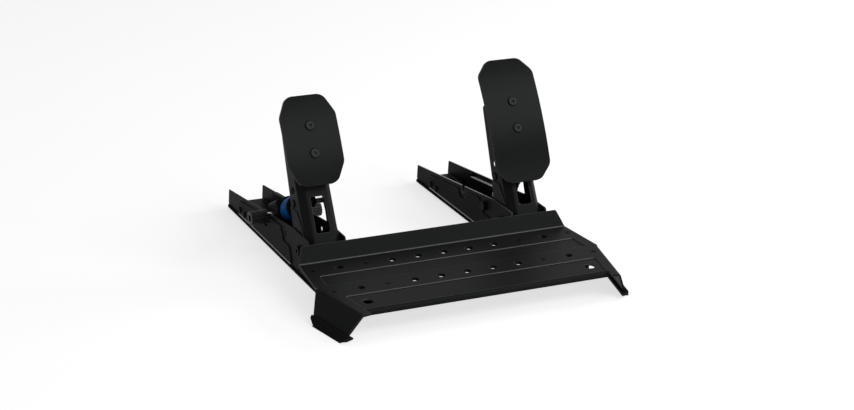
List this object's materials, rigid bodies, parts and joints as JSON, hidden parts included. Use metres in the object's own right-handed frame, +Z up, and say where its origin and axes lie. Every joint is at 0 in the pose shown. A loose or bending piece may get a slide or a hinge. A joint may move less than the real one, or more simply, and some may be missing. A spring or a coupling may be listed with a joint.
{
  "type": "sim racing pedal set",
  "caption": "Sim racing pedals on a folded steel heel plate: a brake with an elastomer and load cell, and a sprung throttle, each in an open channel.",
  "frame": {"origin": "on the floor, at the middle of the set's width and depth", "axes": "+X to the driver's right, +Y away from the driver, +Z up"},
  "size_m": [0.351, 0.4057, 0.2009],
  "materials": {
    "powder_coat": "satin black powder coat",
    "pad_coat": "satin black coat",
    "rubber": "matt black rubber",
    "black_steel": "blackened steel",
    "knob_plastic": "matt black",
    "blue_elastomer": "smooth blue polyurethane",
    "bright_steel": "plain steel",
    "black_plastic": "matt black",
    "bronze": "sintered",
    "board_green": "solder mask"
  },
  "bodies": {
    "base": {"heel_plate": "powder_coat", "left_foot_strip": "rubber", "right_foot_strip": "rubber", "plate_screws": "black_steel", "plate_nuts": "black_steel", "skirt_screws": "black_steel", "skirt_nuts": "black_steel", "brake_channel": "powder_coat", "brake_left_skirt": "powder_coat", "brake_right_skirt": "powder_coat", "brake_grip_pad": "rubber", "brake_pivot_bolt": "black_steel", "brake_pivot_nut": "black_steel", "brake_pivot_bushes": "bronze", "brake_cover": "black_plastic", "throttle_channel": "powder_coat", "throttle_left_skirt": "powder_coat", "throttle_right_skirt": "powder_coat", "throttle_grip_pad": "rubber", "throttle_pivot_bolt": "black_steel", "throttle_pivot_nut": "black_steel", "throttle_pivot_bushes": "bronze", "throttle_cover": "black_plastic", "cross_axle": "bright_steel", "spring_bolt": "black_steel", "spring_nut": "black_steel", "sensor_board": "board_green", "data_inlet": "black_plastic"},
    "brake_pedal": {"brake_arm": "powder_coat", "brake_arm_cheeks": "powder_coat", "brake_pivot_sleeve": "bright_steel", "brake_pad": "pad_coat", "brake_pad_spacer": "powder_coat", "brake_pad_screws": "black_steel", "brake_pad_nuts": "black_steel", "brake_link_pin": "bright_steel", "brake_link_rings": "black_steel"},
    "brake_rod": {"push_rod": "black_steel", "front_cup": "black_plastic"},
    "load_cell_block": {"load_cell_housing": "black_plastic", "load_cell": "black_steel", "rear_cup": "black_plastic", "elastomer": "blue_elastomer"},
    "left_adjuster": {"left_knob": "knob_plastic"},
    "right_adjuster": {"right_knob": "knob_plastic"},
    "throttle_pedal": {"throttle_arm": "powder_coat", "throttle_arm_cheeks": "powder_coat", "throttle_pivot_sleeve": "bright_steel", "throttle_pad": "pad_coat", "throttle_pad_spacer": "powder_coat", "throttle_pad_screws": "black_steel", "throttle_pad_nuts": "black_steel", "throttle_link_pin": "bright_steel", "throttle_link_rings": "black_steel", "magnet": "bright_steel"},
    "spring_guide": {"upper_spring_seat": "black_steel"},
    "spring_foot": {"lower_spring_seat": "black_steel", "throttle_spring": "black_steel"}
  },
  "joints": [
    {"name": "brake_pedal_pivot", "type": "hinge", "parent": "base", "child": "brake_pedal", "pos_m": [-0.12, -0.02295, 0.032], "axis": [-1, 0, 0], "range_deg": [0, 8], "stiffness_Nm_per_rad": 60, "springref_deg": -2.86},
    {"name": "brake_rod_pin", "type": "hinge", "parent": "brake_pedal", "child": "brake_rod", "pos_m": [-0.12, 0.00309, 0.07586], "axis": [-1, 0, 0], "range_deg": [-8.66, 0.2]},
    {"name": "load_cell_axle", "type": "hinge", "parent": "base", "child": "load_cell_block", "pos_m": [-0.12, 0.07655, 0.0358], "axis": [-1, 0, 0], "range_deg": [-0.66, 0.2], "deforming": ["elastomer"]},
    {"name": "left_knob_turn", "type": "hinge", "parent": "base", "child": "left_adjuster", "pos_m": [-0.151, 0.07655, 0.0358], "axis": [1, 0, 0], "continuous": true},
    {"name": "right_knob_turn", "type": "hinge", "parent": "base", "child": "right_adjuster", "pos_m": [-0.089, 0.07655, 0.0358], "axis": [1, 0, 0], "continuous": true},
    {"name": "throttle_pedal_pivot", "type": "hinge", "parent": "base", "child": "throttle_pedal", "pos_m": [0.12, -0.02295, 0.032], "axis": [-1, 0, 0], "range_deg": [0, 18], "stiffness_Nm_per_rad": 12, "springref_deg": -5.73},
    {"name": "spring_guide_pin", "type": "hinge", "parent": "throttle_pedal", "child": "spring_guide", "pos_m": [0.12, 0.00309, 0.07586], "axis": [-1, 0, 0], "range_deg": [-4.33, 0.2]},
    {"name": "spring_foot_pin", "type": "hinge", "parent": "base", "child": "spring_foot", "pos_m": [0.12, 0.01955, 0.0358], "axis": [-1, 0, 0], "range_deg": [-0.2, 14.07], "deforming": ["throttle_spring"]}
  ],
  "couplings": [
    {"joint": "brake_rod_pin", "follows": "brake_pedal_pivot", "ratio": -1.058},
    {"joint": "load_cell_axle", "follows": "brake_pedal_pivot", "ratio": -0.05798},
    {"joint": "spring_guide_pin", "follows": "throttle_pedal_pivot", "ratio": -0.22963},
    {"joint": "spring_foot_pin", "follows": "throttle_pedal_pivot", "ratio": 0.77037}
  ]
}
